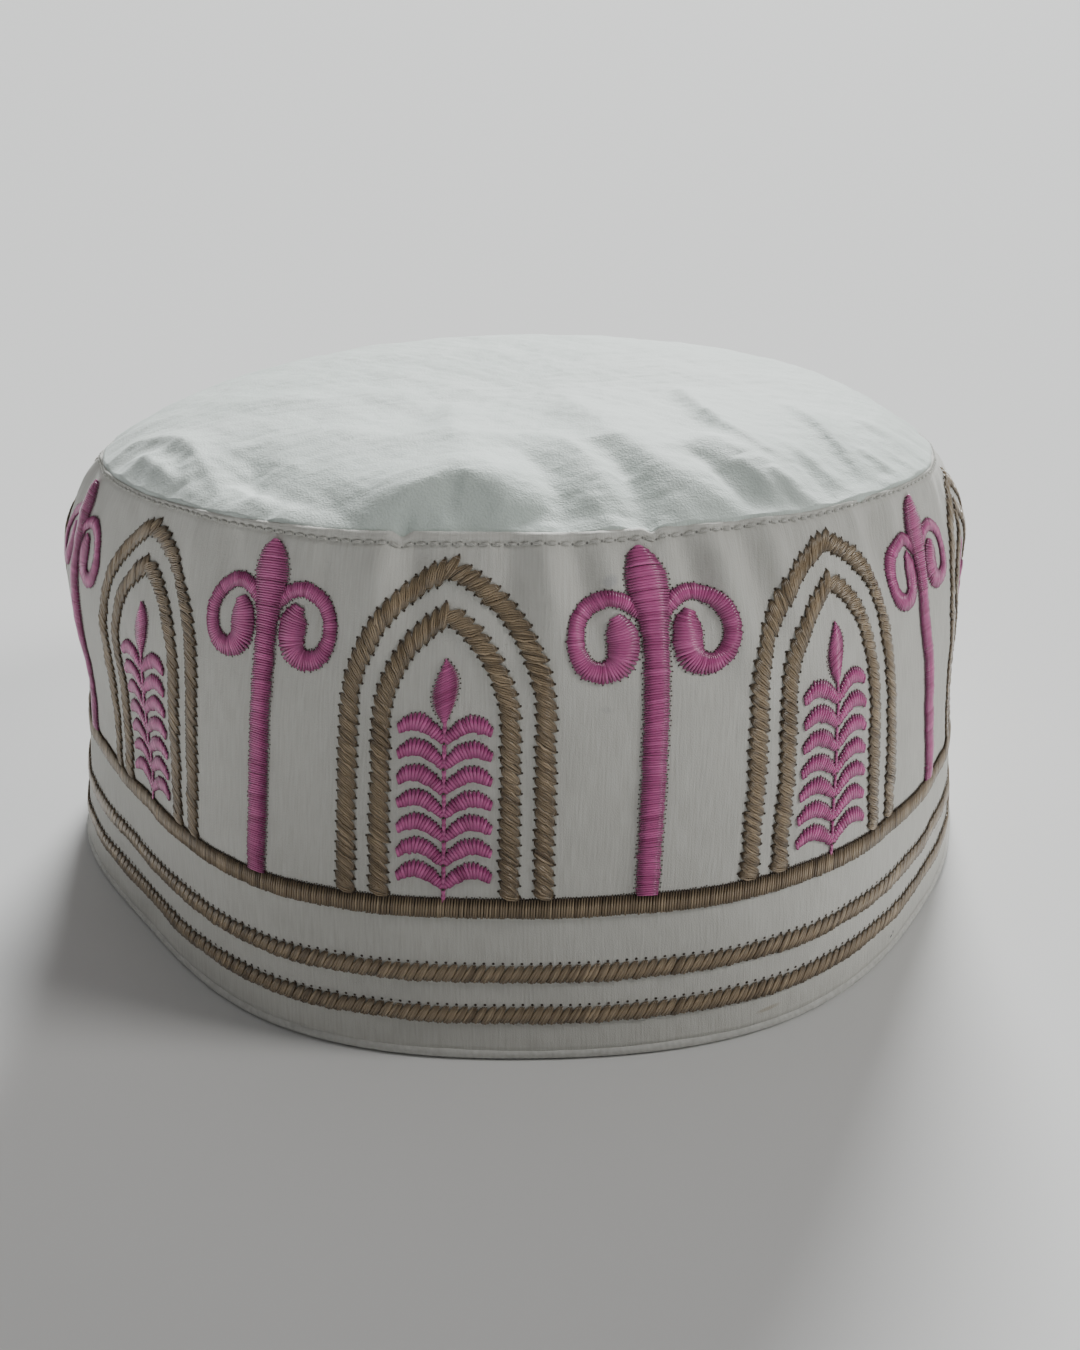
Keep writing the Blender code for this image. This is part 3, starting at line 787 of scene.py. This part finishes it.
class Stitching:
    """Gathers threads and needle holes of one motif, then lays them on the band."""

    def __init__(self):
        self.groups = []
        self.dots = []
        self.shade_strips = []

    def add(self, kind, start, end, rise, bow=0.0, wider=0.0):
        """Stitches of one kind, with the lift at their middle and their sideways bow."""
        stations = THREADS[kind][-1]
        self.groups.append((threads(kind, start, end, rise, bow, wider), len(stations)))

    def add_holes(self, kind, places, lift=HOLE_LIFT):
        """Needle holes as small discs of painted shade."""
        turns = np.radians(angles_round(RING_POINTS))
        ring = columns(np.cos(turns), np.sin(turns)) * HOLES[kind]
        flat = places[:, None, :] + ring
        self.dots.append(np.concatenate([flat, np.full((*flat.shape[:2], 1), lift)], axis=2))

    # A flat strip of painted shade, seen between the threads laid over it.
    def add_shade_strip(self, x, low, high, lift):
        edges = [columns(x, np.full(x.shape, y), np.full(x.shape, lift)) for y in (low, high)]
        self.shade_strips.append(np.concatenate(edges))

    def lay(self, name, centre, materials, node, slot, lean=0.0):
        """The piece on the band, its middle at the angle centre, its bud leaning aside."""
        vertices = []
        faces = []
        marks = []
        shades = []
        first = 0
        for points, stations in self.groups:
            made = thread_faces(len(points), stations, first)
            faces += made
            marks += [0] * len(made)
            vertices.append(points.reshape(-1, 3))
            along = np.repeat(np.linspace(0.0, 1.0, stations), RING_POINTS)
            along = np.concatenate([[0.0], along, [1.0]])
            number = first + np.arange(len(points)) * STITCH_STEP
            shade = np.stack(np.broadcast_arrays(number[:, None], along), axis=-1)
            shades.append(shade.reshape(-1, 2))
            first += len(vertices[-1])
        # Needle holes and strips take the second material, which is painted shade.
        for dots in self.dots:
            vertices.append(dots.reshape(-1, 3))
            starts = range(first, first + len(vertices[-1]), RING_POINTS)
            faces += [tuple(range(k, k + RING_POINTS)) for k in starts]
            marks += [1] * len(dots)
            first += len(vertices[-1])
        for strip in self.shade_strips:
            count = len(strip) // 2
            for j in range(count - 1):
                faces.append((first + j, first + j + 1, first + count + j + 1, first + count + j))
                marks.append(1)
            vertices.append(strip)
            first += len(strip)
        flat = np.concatenate(vertices)
        shades.append(np.zeros((first - sum(map(len, shades)), 2)))
        uv = np.concatenate(shades)[[v for face in faces for v in face]]
        up = np.maximum(0.0, (flat[:, 1] - BUD_LEAN_FROM) / (COLUMN_ROWS[0][0] - BUD_LEAN_FROM))
        flat[:, 0] += lean * up ** BUD_LEAN_POWER
        placed = on_band(centre + flat[:, 0] / ARC_PER_DEGREE, flat[:, 1], flat[:, 2])
        return add_piece(name, placed, faces, materials, node, uv=uv, marks=marks)


def smooth(rows, parts):
    """A smooth curve through rows of numbers."""
    rows = np.asarray(rows, float)
    rows = np.concatenate([[2 * rows[0] - rows[1]], rows, [2 * rows[-1] - rows[-2]]])
    t = (np.arange(parts) / parts)[:, None]
    out = [bend(*rows[k - 1:k + 3], t) for k in range(1, len(rows) - 2)]
    out.append(rows[-2:-1])
    return np.concatenate(out)


def walk(curve, step):
    """Rows at even steps along a curve whose first two columns are its places, with directions."""
    length = np.concatenate([[0.0], np.cumsum(np.hypot(*np.diff(curve[:, :2], axis=0).T))])
    count = max(2, int(round(length[-1] / step)) + 1)
    at = np.linspace(0.0, length[-1], count)
    rows = np.stack([np.interp(at, length, curve[:, k]) for k in range(curve.shape[1])], axis=-1)
    reach = 0.5 * step
    ahead = [np.interp(at + reach, length, curve[:, k]) for k in (0, 1)]
    behind = [np.interp(at - reach, length, curve[:, k]) for k in (0, 1)]
    return rows, unit(np.stack(ahead, axis=-1) - np.stack(behind, axis=-1))


def arch_curve(half_span, spring, apex):
    """The middle of one arch line, from its left foot over the apex to its right foot."""
    rise = apex - spring
    beyond = (rise * rise - half_span * half_span) / (2.0 * half_span)
    radius = half_span + beyond
    turns = np.linspace(0.0, math.asin(rise / radius), ARCH_POINTS)
    side = [(half_span, FOOT)] + [(radius * math.cos(t) - beyond, spring + radius * math.sin(t))
                                  for t in turns]
    left = [(-x, y) for x, y in side]
    return np.array(left + list(reversed(side[:-1])))


def arch_stitching(sizes, random):
    """Slanting bars of thread that meet a needle hole at both edges of the line."""
    work = Stitching()
    middles, along = walk(arch_curve(*sizes), ARCH_BAR)
    outward = aside(along)
    jitter = random.normal(0.0, ARCH_JITTER, (len(middles), 2))
    reach = 0.5 * ARCH_LINE * np.array((1.0, ARCH_AHEAD))
    inner = middles - outward * (reach[0] + jitter[:, :1]) - along * reach[1]
    outer = middles + outward * (reach[0] + jitter[:, 1:]) + along * reach[1]
    for edge in (inner, outer):
        edge[:, 1] = np.maximum(edge[:, 1], FOOT + ARCH_ABOVE)
    for place in np.linspace(-0.5, 0.5, ARCH_BAR_THREADS):
        start = inner + along * place * ARCH_SPREAD * ARCH_BAR
        end = outer + along * place * ARCH_SPREAD * ARCH_BAR
        lift = ARCH_RISE[0] + ARCH_RISE[1] * random.random(len(start))
        bow = -place * ARCH_BOW[0] * ARCH_BAR + random.normal(0, ARCH_BOW[1], len(start))
        work.add("arch", start, end, lift, bow)
    away = unit(outer - inner) * HOLE_AWAY
    work.add_holes("arch", inner - away)
    work.add_holes("arch", outer + away)
    return work


def column_stitching(random):
    """Level threads across the bar and bud, and threads that turn with the two scrolls."""
    work = Stitching()
    rows = smooth(COLUMN_ROWS, 10)
    height = np.arange(COLUMN_ROWS[0][0] - 0.2, FOOT - 0.3, -COLUMN_STEP)
    half = np.interp(-height, -rows[:, 0], rows[:, 1])
    tilt = COLUMN_TILT[0] * np.sin(height * COLUMN_TILT[1])
    left = columns(-half + random.normal(0, COLUMN_JITTER, len(half)), height - tilt)
    right = columns(half + random.normal(0, COLUMN_JITTER, len(half)), height + tilt)
    bow = COLUMN_BOW[0] + random.normal(0, COLUMN_BOW[1], len(half))
    work.add("column", left, right, COLUMN_RISE[0] + COLUMN_RISE[1] * half, bow)
    work.add_holes("column", left[::2] - (HOLE_ASIDE, 0.0))
    work.add_holes("column", right[::2] + (HOLE_ASIDE, 0.0))
    for sign in (1.0, -1.0):
        curve = smooth(SCROLL_ROWS, 12) * (sign, 1.0, 1.0)
        middles, along = walk(curve, SCROLL_STEP)
        outward = aside(along) * sign
        reach = 0.5 * middles[:, 2:3]
        inner = middles[:, :2] - outward * (reach + random.normal(0, SCROLL_JITTER, reach.shape))
        outer = middles[:, :2] + outward * (reach + random.normal(0, SCROLL_JITTER, reach.shape))
        wide = np.linalg.norm(outer - inner, axis=1)
        work.add("scroll", inner, outer, SCROLL_RISE[0] + SCROLL_RISE[1] * wide)
        away = unit(outer - inner) * HOLE_AWAY
        work.add_holes("scroll_outer", (outer + away)[::2])
        work.add_holes("scroll_inner", (inner - away)[::2])
    return work


def fern_stitching(random):
    """Stem, almond bud and the pairs of crescent leaves, in short upright stitches."""
    work = Stitching()
    leaf = smooth(LEAF_ROWS, 8)
    for pair in range(FERN_PAIRS):
        root = FERN_LEAF_TOP - pair * FERN_LEAF_STEP
        for sign in (1.0, -1.0):
            middles, along = walk(leaf, LEAF_STEP)
            up = unit(aside(along) + LEAF_LEAN)
            reach = 0.5 * middles[:, 2:3]
            noise = random.normal(0, LEAF_JITTER, (2, *reach.shape))
            low = (middles[:, :2] - up * (reach + noise[0]) + (0.0, root)) * (sign, 1.0)
            high = (middles[:, :2] + up * (reach + noise[1]) + (0.0, root)) * (sign, 1.0)
            work.add("leaf", low, high, LEAF_RISE)
            work.add_holes("leaf", (high - (0.0, 0.02))[1:])
    rows = smooth(FERN_BUD_ROWS, 8)
    height = np.arange(FERN_BUD_ROWS[0][0], FERN_BUD_ROWS[-1][0], -FERN_BUD_STEP)
    half = np.interp(-height, -rows[:, 0], rows[:, 1])
    left = columns(-half, height - 0.5 * half)
    right = columns(half, height + 0.5 * half)
    work.add("bud", left, right, FERN_BUD_RISE[0] + FERN_BUD_RISE[1] * random.random(len(half)))
    work.add_holes("bud", left[::2] - (HOLE_ASIDE, 0.0))
    work.add_holes("bud", right[::2] + (HOLE_ASIDE, 0.0))
    levels = np.arange(FERN_BUD_ROWS[-1][0] + 0.6, FOOT, -STEM_STEP)
    for side in (-STEM_HALF, STEM_HALF):
        top = columns(np.full(levels.shape, side), levels)
        work.add("stem", top, top - (STEM_CROSS * side, STEM_STITCH), STEM_RISE)
    roots = FERN_LEAF_TOP - np.arange(FERN_PAIRS) * FERN_LEAF_STEP - ROOT_DROP
    work.add_holes("root", columns(np.zeros(FERN_PAIRS), roots), ROOT_LIFT)
    return work


def base_stitching(random):
    """Upright threads side by side, drawn to a point at their upper needle holes."""
    work = Stitching()
    around = 360.0 * ARC_PER_DEGREE
    count = BASE_THREADS
    x = np.arange(count) * around / count + random.normal(0, BASE_UNEVEN, count)
    low, high = BASE_BAND
    lower = columns(x - BASE_SLANT, low + random.normal(0, BASE_JITTER, count))
    upper = columns(x + BASE_SLANT, high - 0.1 + random.normal(0, BASE_JITTER, count))
    wider = random.normal(0, BASE_WIDER, count)
    rise = BASE_RISE[0] + BASE_RISE[1] * random.random(count)
    work.add("base", lower, upper, rise, wider=wider)
    work.add_holes("base", upper + (0.0, 0.10))
    # Under the threads, a strip of painted shade in the needle-hole colour.
    work.add_shade_strip(np.linspace(0.0, around, 361), low + 0.3, high - 0.1, SHADE_STRIP_LIFT)
    return work


def cord_stitching(stripe, random):
    """Slanting bars of three threads, round at the foot and drawn into one hole at the top."""
    work = Stitching()
    low, high = stripe
    around = 360.0 * ARC_PER_DEGREE
    x = np.arange(CORD_BARS) * around / CORD_BARS
    wobble = random.normal(0, CORD_JITTER, (2, CORD_BARS))
    foot, head = CORD_SPREAD
    for place in (-0.5, 0.0, 0.5):
        lower = columns(x - 0.5 * CORD_LEAN + place * foot, low + 0.3 * abs(place) + wobble[0])
        upper = columns(x + 0.5 * CORD_LEAN + place * head, high - 0.3 + wobble[1])
        work.add("cord", lower, upper, CORD_RISE, bow=-place * CORD_BOW)
    work.add_holes("cord", columns(x + 0.5 * CORD_LEAN, np.full(CORD_BARS, high)))
    return work


def topstitching():
    """The white running stitch below the seam's lip."""
    work = Stitching()
    x = np.arange(TOPSTITCHES) * 360.0 * ARC_PER_DEGREE / TOPSTITCHES
    level = TOPSTITCH + STITCH_CLOSER * covered(x / ARC_PER_DEGREE)
    start = columns(x - TOPSTITCH_HALF, level)
    end = columns(x + TOPSTITCH_HALF, level)
    work.add("seam", start, end, TOPSTITCH_RISE)
    work.add_holes("seam", columns(x + TOPSTITCH_HOLE, level))
    return work


# Materials

class Paint:
    """A material and the nodes that colour it."""

    def __init__(self, name, colour, roughness, sheen=0.0):
        self.material = bpy.data.materials.new(name)
        self.material.use_nodes = True
        self.nodes = self.material.node_tree.nodes
        self.links = self.material.node_tree.links
        self.shader = self.nodes["Principled BSDF"]
        self.fill(self.shader, {"Base Color": (*colour, 1.0), "Roughness": roughness,
                                "Sheen Weight": sheen})

    def fill(self, node, inputs):
        """Links each named input to a socket, or sets it to a value."""
        for name, value in inputs.items():
            if isinstance(value, bpy.types.NodeSocket):
                self.links.new(value, node.inputs[name])
            else:
                node.inputs[name].default_value = value

    def node(self, kind, inputs):
        node = self.nodes.new(f"ShaderNode{kind}")
        self.fill(node, inputs)
        return node.outputs

    def noise(self, vector, scale, detail, stretch=None):
        """A noise texture, read at stretched places if stretch is given."""
        if stretch is not None:
            vector = self.node("Mapping", {"Vector": vector, "Scale": stretch})["Vector"]
        return self.node("TexNoise", {"Vector": vector, "Scale": scale, "Detail": detail})["Fac"]

    def blend(self, factor, low, high, dark, light):
        """A colour that goes from dark to light as factor goes from low to high."""
        ramp = self.nodes.new("ShaderNodeValToRGB")
        for stop, place, colour in zip(ramp.color_ramp.elements, (low, high), (dark, light)):
            stop.position = place
            stop.color = (*colour, 1.0)
        self.fill(ramp, {"Fac": factor})
        return ramp.outputs["Color"]

    def shade(self, factor, low, high, dark):
        """A grey that goes from dark to 1."""
        return self.blend(factor, low, high, (dark, dark, dark), (1.0, 1.0, 1.0))

    def mix(self, kind, factor, first, second):
        mix = self.nodes.new("ShaderNodeMix")
        mix.data_type = "RGBA"
        mix.blend_type = kind
        self.fill(mix, {"Factor": factor, "A": first, "B": second})
        return mix.outputs["Result"]

    def bump(self, *layers):
        """Fine relief on the surface, from layers of height, strength and distance."""
        normal = {}
        for height, strength, distance in layers:
            made = self.node("Bump", {"Height": height, "Strength": strength,
                                      "Distance": distance, **normal})
            normal = {"Normal": made["Normal"]}
        self.fill(self.shader, normal)

    def stain(self, uv, before, mark):
        """The colour before, with one small mark on it."""
        angle, height, half_length, half_width, tilt, strength, colour = mark
        place = self.nodes.new("ShaderNodeMapping")
        place.vector_type = "TEXTURE"
        self.fill(place, {"Vector": uv, "Rotation": (0.0, 0.0, math.radians(tilt)),
                          "Location": (angle * ARC_PER_DEGREE * MM, height * MM, 0.0),
                          "Scale": (half_length * MM, half_width * MM, 1.0)})
        length = self.nodes.new("ShaderNodeVectorMath")
        length.operation = "LENGTH"
        self.links.new(place.outputs["Vector"], length.inputs[0])
        fade = self.node("MapRange", {"Value": length.outputs["Value"], "From Min": 1.0,
                                      "From Max": STAIN_CORE, "To Max": strength})["Result"]
        return self.mix("MIX", fade, before, (*colour, 1.0))


def band_material():
    """Plain-weave cotton with fine upright slubs."""
    paint = Paint("white_band_cotton", (0.7, 0.7, 0.67), 0.85, 0.15)
    places = paint.node("TexCoord", {})
    uv = places["UV"]
    here = places["Object"]
    slubs = paint.noise(uv, 1.0, 3.0, (2600.0, 160.0, 1.0))
    weave = paint.noise(uv, 1.0, 1.0, (5200.0, 3600.0, 1.0))
    clouds = paint.noise(here, 34.0, 3.0)
    colour = paint.mix("MULTIPLY", 1.0, paint.blend(slubs, 0.30, 0.70, *BAND_WHITES),
                       paint.shade(clouds, 0.35, 0.65, 0.95))
    for mark in STAINS:
        colour = paint.stain(uv, colour, mark)
    paint.fill(paint.shader, {"Base Color": colour})
    paint.bump((weave, 0.6, 0.00014), (slubs, 0.6, 0.00014))
    return paint.material


def crown_material():
    """Smooth cotton sateen, a little cooler than the band, with a fine crinkle."""
    paint = Paint("white_crown_sateen", (0.72, 0.77, 0.74), 0.7, 0.25)
    here = paint.node("TexCoord", {})["Object"]
    crinkle = paint.noise(here, 420.0, 3.0)
    grain = paint.noise(here, 1.0, 1.0, (2600.0, 2600.0, 400.0))
    clouds = paint.noise(here, 26.0, 3.0)
    colour = paint.mix("MULTIPLY", 1.0, paint.blend(clouds, 0.35, 0.65, *CROWN_WHITES),
                       paint.shade(grain, 0.3, 0.7, 0.96))
    paint.fill(paint.shader, {"Base Color": colour})
    paint.bump((crinkle, 0.55, 0.00035), (grain, 0.8, 0.00014))
    return paint.material


def hem_material():
    """Cotton like the band's, with a coarser grain."""
    paint = Paint("white_hem_twill", (0.66, 0.655, 0.62), 0.85, 0.15)
    grain = paint.noise(paint.node("TexCoord", {})["Object"], 900.0, 2.0)
    paint.fill(paint.shader, {"Base Color": paint.blend(grain, 0.3, 0.7, *HEM_WHITES)})
    paint.bump((grain, 0.4, 0.00015))
    return paint.material


def thread_material(name, shades, roughness):
    """Glossy embroidery thread: each stitch has its own random tone, with painted shade at its
    ends.
    """
    paint = Paint(name, shades[1], roughness)
    places = paint.node("TexCoord", {})
    uv = places["UV"]
    here = places["Object"]
    own = paint.noise(uv, 1.0, 0.0, (1.0, 0.0, 1.0))
    patches = paint.noise(here, 60.0, 2.0)
    along = paint.node("SeparateXYZ", {"Vector": uv})["Y"]
    # Painted shade: darker towards both ends of each thread.
    ends = paint.shade(along, 0.0, THREAD_END, THREAD_END_PAINTED_SHADE)
    stops = ends.node.color_ramp.elements
    stops.new(1.0).color = (THREAD_END_PAINTED_SHADE, THREAD_END_PAINTED_SHADE, THREAD_END_PAINTED_SHADE, 1.0)
    stops.new(1.0 - THREAD_END).color = (1.0, 1.0, 1.0, 1.0)
    colour = paint.mix("MULTIPLY", 1.0, paint.blend(own, 0.32, 0.68, *shades),
                       paint.shade(patches, 0.35, 0.65, 0.9))
    colour = paint.mix("MULTIPLY", 1.0, colour, ends)
    paint.fill(paint.shader, {"Base Color": colour, "Coat Weight": 0.35,
                              "Coat Roughness": 0.22})
    paint.bump((paint.noise(here, 2400.0, 2.0), 0.35, 0.00008))
    return paint.material


def hole_painted_shade_material():
    """Painted shade: the dark inside a needle hole, on flat discs."""
    paint = Paint("needle_hole_painted_shade", (0.05, 0.035, 0.03), 0.95)
    grain = paint.noise(paint.node("TexCoord", {})["Object"], 900.0, 1.0)
    paint.fill(paint.shader, {"Base Color": paint.blend(grain, 0.3, 0.7, *HOLE_PAINTED_SHADES)})
    return paint.material


# Stage

def facing(turn, climb):
    """The direction that is turned from +Y towards +X, and raised, by these degrees."""
    turn = math.radians(turn)
    climb = math.radians(climb)
    return Vector((math.sin(turn) * math.cos(climb), math.cos(turn) * math.cos(climb),
                   math.sin(climb)))


def build_floor():
    """A plain pale floor."""
    mesh = bpy.data.meshes.new("floor")
    corners = [(-1, -1), (1, -1), (1, 1), (-1, 1)]
    mesh.from_pydata([(x * FLOOR_REACH, y * FLOOR_REACH, FLOOR_LEVEL) for x, y in corners], [],
                     [(0, 1, 2, 3)])
    mesh.materials.append(Paint("pale_floor", (0.78, 0.78, 0.775), 0.9).material)
    floor = put("floor", mesh)


def build_lights():
    """A dim even room, and light from four sides."""
    world = bpy.data.worlds.new("soft_room")
    world.use_nodes = True
    back = world.node_tree.nodes["Background"]
    back.inputs["Color"].default_value = (*ROOM_COLOUR, 1.0)
    back.inputs["Strength"].default_value = ROOM_STRENGTH
    bpy.context.scene.world = world
    for name, (turn, climb, strength, softness, colour) in LIGHTS.items():
        light = bpy.data.lights.new(name, "SUN")
        light.energy = strength
        light.angle = math.radians(softness)
        light.color = colour
        aim = -facing(turn, climb)
        put(name, light).rotation_euler = aim.to_track_quat("-Z", "Y").to_euler()


def build_camera():
    """The camera at the photo's angle."""
    pan = math.radians(CAMERA_PAN)
    roll = math.radians(CAMERA_ROLL)
    ahead = facing(CAMERA_PAN, CAMERA_PITCH)
    right = Vector((math.cos(pan), -math.sin(pan), 0.0))
    up = right.cross(ahead)
    across = right * math.cos(roll) + up * math.sin(roll)
    over = up * math.cos(roll) - right * math.sin(roll)
    lens = bpy.data.cameras.new("camera")
    lens.sensor_fit = "VERTICAL"
    lens.sensor_height = SENSOR_HEIGHT
    lens.lens = CAMERA_LENS
    lens.clip_start = 0.01
    camera = put("camera", lens)
    turn = Matrix((across, over, -ahead)).transposed().to_4x4()
    camera.matrix_world = Matrix.Translation(CAMERA_PLACE) @ turn
    bpy.context.scene.camera = camera


def build_embroidery(brown, pink, needle, white):
    """Lays every motif on the band, and gives back the pieces."""
    random = np.random.default_rng(5)
    made = []

    def lay(work, node, centre, thread, slot, lean=0.0):
        made.append(work.lay(f"{node}_threads", centre, [thread, needle], node, slot, lean))

    for name, stripe in CORD_STRIPES.items():
        lay(cord_stitching(stripe, random), name, 0.0, brown, "brown_thread")
    lay(base_stitching(random), "base_band", 0.0, brown, "brown_thread")
    for repeat in range(REPEATS):
        number = repeat + 1
        column = COLUMN_START + repeat * REPEAT_STEP
        arch = ARCH_START + repeat * REPEAT_STEP
        for name, sizes in ARCHES.items():
            lay(arch_stitching(sizes, random), f"{name}_{number}", arch, brown, "brown_thread")
        lay(column_stitching(random), f"column_{number}", column, pink, "pink_thread",
            BUD_LEANS.get(number, 0.0))
        lay(fern_stitching(random), f"fern_{number}", arch, pink, "pink_thread")
    # Painted shade in the dimples at the topstitch's needle holes.
    dimple_shade = Paint("topstitch_dimple_painted_shade", (0.26, 0.26, 0.24), 0.9).material
    made.append(topstitching().lay("seam_topstitch", 0.0, [white, dimple_shade], "band", "band_cloth"))
    return made


def main():
    build_camera()
    build_lights()
    build_floor()
    cotton = band_material()
    brown = thread_material("brown_embroidery_thread", BROWNS, 0.28)
    pink = thread_material("pink_embroidery_thread", PINKS, 0.24)
    needle = hole_painted_shade_material()
    band = build_band(cotton)
    hem = build_hem(hem_material())
    crown = build_crown(crown_material())
    motifs = build_embroidery(brown, pink, needle, cotton)


main()
